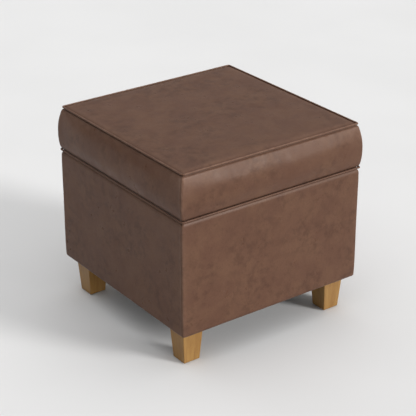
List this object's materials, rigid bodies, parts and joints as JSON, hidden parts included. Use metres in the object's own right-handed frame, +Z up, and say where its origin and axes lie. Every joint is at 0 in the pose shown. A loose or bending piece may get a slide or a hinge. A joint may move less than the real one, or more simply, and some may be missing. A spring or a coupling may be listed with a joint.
{
  "type": "storage ottoman",
  "caption": "Square cube-shaped footstool in brown leather with a lift-off padded lid, welted seams, a lined storage well and tapered square wooden legs.",
  "frame": {"origin": "on the floor, under the centre of the ottoman", "axes": "+Z up towards the seat, -Y towards the front, +X to the right seen from the front"},
  "size_m": [0.482, 0.482, 0.458],
  "materials": {
    "leather": "satin, distressed brown",
    "leg_wood": "satin clear lacquer, honey oak",
    "plywood": "raw plywood",
    "frame_wood": "raw pine",
    "padding": "polyester wadding",
    "foam": "upholstery foam",
    "welt_cord": "twisted cord",
    "lining_cloth": "matte non-woven lining",
    "dust_cloth": "matte non-woven dust cloth",
    "glide_plastic": "moulded nylon",
    "hardware_steel": "zinc-plated steel"
  },
  "bodies": {
    "base": {"front_panel": "plywood", "back_panel": "plywood", "left_panel": "plywood", "right_panel": "plywood", "bottom_board": "plywood", "cleat_front": "frame_wood", "cleat_right": "frame_wood", "cleat_back": "frame_wood", "cleat_left": "frame_wood", "leg_block_front_left": "frame_wood", "leg_block_front_right": "frame_wood", "leg_block_back_left": "frame_wood", "leg_block_back_right": "frame_wood", "leg_front_left": "leg_wood", "leg_front_right": "leg_wood", "leg_back_left": "leg_wood", "leg_back_right": "leg_wood", "leg_glides": "glide_plastic", "hanger_bolts": "hardware_steel", "t_nuts": "hardware_steel", "padding_front": "padding", "padding_right": "padding", "padding_back": "padding", "padding_left": "padding", "base_cover_front": "leather", "base_cover_right": "leather", "base_cover_back": "leather", "base_cover_left": "leather", "lining_front": "lining_cloth", "lining_right": "lining_cloth", "lining_back": "lining_cloth", "lining_left": "lining_cloth", "lining_floor": "lining_cloth", "dust_cover": "dust_cloth", "panel_screws": "hardware_steel", "board_screws": "hardware_steel", "cover_staples": "hardware_steel", "dust_cover_staples": "hardware_steel"},
    "lid": {"lid_board": "plywood", "lid_foam": "foam", "lid_fibre_pad": "padding", "lid_top_cover": "leather", "boxing_front": "leather", "boxing_right": "leather", "boxing_back": "leather", "boxing_left": "leather", "top_welt": "leather", "top_welt_cord": "welt_cord", "bottom_welt": "leather", "bottom_welt_cord": "welt_cord", "lid_lining": "lining_cloth", "locating_strip_front": "frame_wood", "locating_strip_right": "frame_wood", "locating_strip_back": "frame_wood", "locating_strip_left": "frame_wood", "strip_screws": "hardware_steel", "boxing_staples": "hardware_steel"}
  },
  "joints": [
    {"name": "lid_lift", "type": "slide", "parent": "base", "child": "lid", "axis": [0, 0, 1], "range_m": [0, 0.32]}
  ]
}
